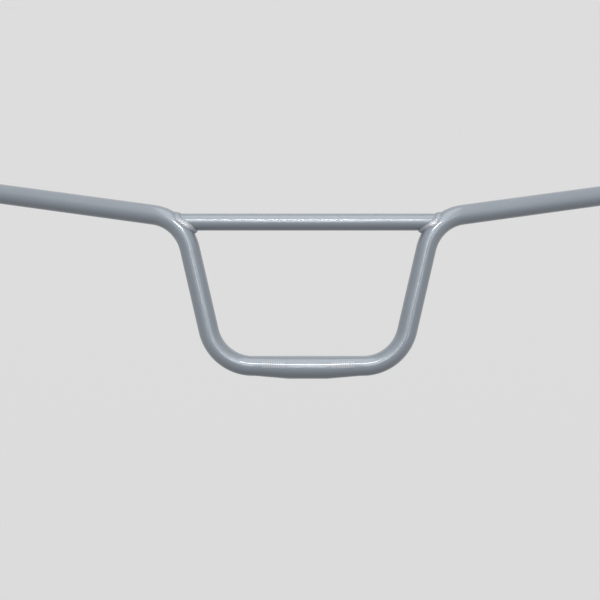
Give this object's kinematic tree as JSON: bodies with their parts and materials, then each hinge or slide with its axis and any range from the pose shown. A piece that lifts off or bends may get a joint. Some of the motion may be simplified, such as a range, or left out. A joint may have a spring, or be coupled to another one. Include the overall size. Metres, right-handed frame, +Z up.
{
  "type": "handlebar",
  "caption": "Tall bent-tube motorcycle handlebar with a thickened clamp centre, swept-back open ends and a welded crossbar brace between the rises.",
  "frame": {"origin": "centre of the round clamp section at the middle of the bar, where the stem clamp holds it", "axes": "+X along the clamp section to one side, which is the long way across the bar; +Y toward the rider, the way the grips sweep back; +Z up the rises"},
  "size_m": [0.76, 0.0702, 0.2214],
  "materials": {
    "bar_paint": "blue-grey metallic paint, satin gloss, on steel tube",
    "weld_paint": "the same paint over a rippled fillet weld"
  },
  "bodies": {
    "root": {"main_tube": "bar_paint", "crossbar": "bar_paint", "left_weld": "weld_paint", "right_weld": "weld_paint"}
  },
  "joints": []
}
